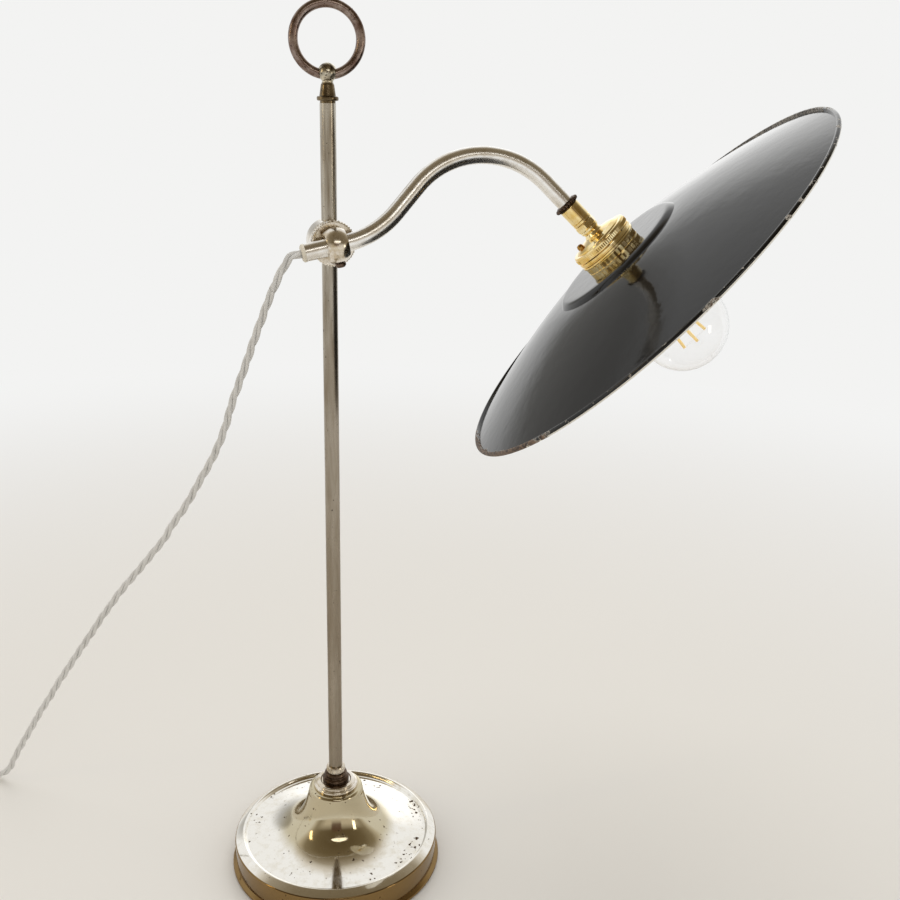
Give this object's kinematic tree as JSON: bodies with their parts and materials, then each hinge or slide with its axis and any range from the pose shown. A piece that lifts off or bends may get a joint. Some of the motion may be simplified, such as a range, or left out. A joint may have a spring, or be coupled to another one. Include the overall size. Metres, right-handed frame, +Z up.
{
  "type": "desk lamp",
  "caption": "Desk lamp with a weighted round base, an upright column, a sliding swan-neck arm on a clamp, a wide shallow shade and a twisted flex.",
  "frame": {"origin": "centre of the base's underside, on the column's axis, at the level of the table", "axes": "+Z up along the column; +X towards the shade; the arm and the thumb wheel are on the column's -Y side"},
  "size_m": [0.6814, 0.3841, 0.6079],
  "materials": {
    "aged_nickel": "worn nickel plate, polished, with brassy tints and dark pits",
    "column_nickel": "streaked nickel tube with olive and brown patina",
    "dark_bronze": "dark brown oxidised brass",
    "polished_brass": "bright polished brass",
    "cast_iron": "rough grey iron",
    "baize": "green felt",
    "black_enamel": "glossy black vitreous enamel outside, white inside, chipped at the rim",
    "clear_glass": "clear blown glass",
    "filament": "amber coated filament",
    "bulb_metal": "plain aluminium cap",
    "cream_plastic": "pale bush",
    "silver_flex": "twisted silver-white fabric-covered cores",
    "dark_insulator": "moulded insulator",
    "white_plastic": "moulded white plug"
  },
  "bodies": {
    "root": {"base_shell": "aged_nickel", "base_weight": "cast_iron", "base_baize": "baize", "base_washer": "bulb_metal", "base_nut": "polished_brass", "seat_ring": "aged_nickel", "foot_collar": "dark_bronze", "foot_lock_ring": "column_nickel", "column": "column_nickel", "finial": "dark_bronze", "carrying_ring": "dark_bronze"},
    "lead": {"flex_run": "silver_flex", "flex_coil": "silver_flex", "flex_tail": "silver_flex", "coil_tie": "white_plastic", "plug_cover": "white_plastic", "plug_base": "white_plastic", "plug_pins": "polished_brass", "plug_screw": "polished_brass"},
    "slider": {"slider_drum": "aged_nickel", "drum_cap": "aged_nickel", "draw_eye": "polished_brass", "clamp_washer": "column_nickel"},
    "thumb_wheel": {"thumb_wheel": "aged_nickel"},
    "eye": {"arm_eye": "aged_nickel", "arm_lock_screw": "dark_bronze"},
    "arm": {"arm_tube": "aged_nickel", "cord_bush": "cream_plastic", "inner_flex": "silver_flex", "arm_end_collar": "dark_bronze", "nipple": "polished_brass", "coupling_sleeve": "polished_brass", "lock_nut": "polished_brass", "holder_cap": "polished_brass", "cap_screw": "dark_bronze", "cap_ring": "polished_brass", "middle_ring": "polished_brass", "shade_ring_upper": "polished_brass", "shade": "black_enamel", "shade_ring_lower": "polished_brass", "holder_body": "polished_brass", "insulator": "dark_insulator", "contact_plungers": "polished_brass", "bulb_cap": "bulb_metal", "bulb_glass": "clear_glass", "bulb_stem": "clear_glass", "bulb_filaments": "filament"}
  },
  "joints": [
    {"name": "arm_swivel", "type": "hinge", "parent": "root", "child": "lead", "pos_m": [0, 0, 0.465], "axis": [0, 0, 1], "range_deg": [-180, 180]},
    {"name": "slider_lift", "type": "slide", "parent": "lead", "child": "slider", "axis": [0, 0, 1], "range_m": [-0.26, 0.06], "deforming": ["flex_run"]},
    {"name": "wheel_turn", "type": "hinge", "parent": "slider", "child": "thumb_wheel", "pos_m": [0, -0.024, 0.465], "axis": [0, -1, 0], "range_deg": [0, 270]},
    {"name": "arm_tilt", "type": "hinge", "parent": "slider", "child": "eye", "pos_m": [0, -0.024, 0.465], "axis": [0, -1, 0], "range_deg": [-20, 35]},
    {"name": "arm_roll", "type": "hinge", "parent": "eye", "child": "arm", "pos_m": [0, -0.024, 0.465], "axis": [0.9765, 0, 0.2154], "range_deg": [-15, 45]}
  ]
}
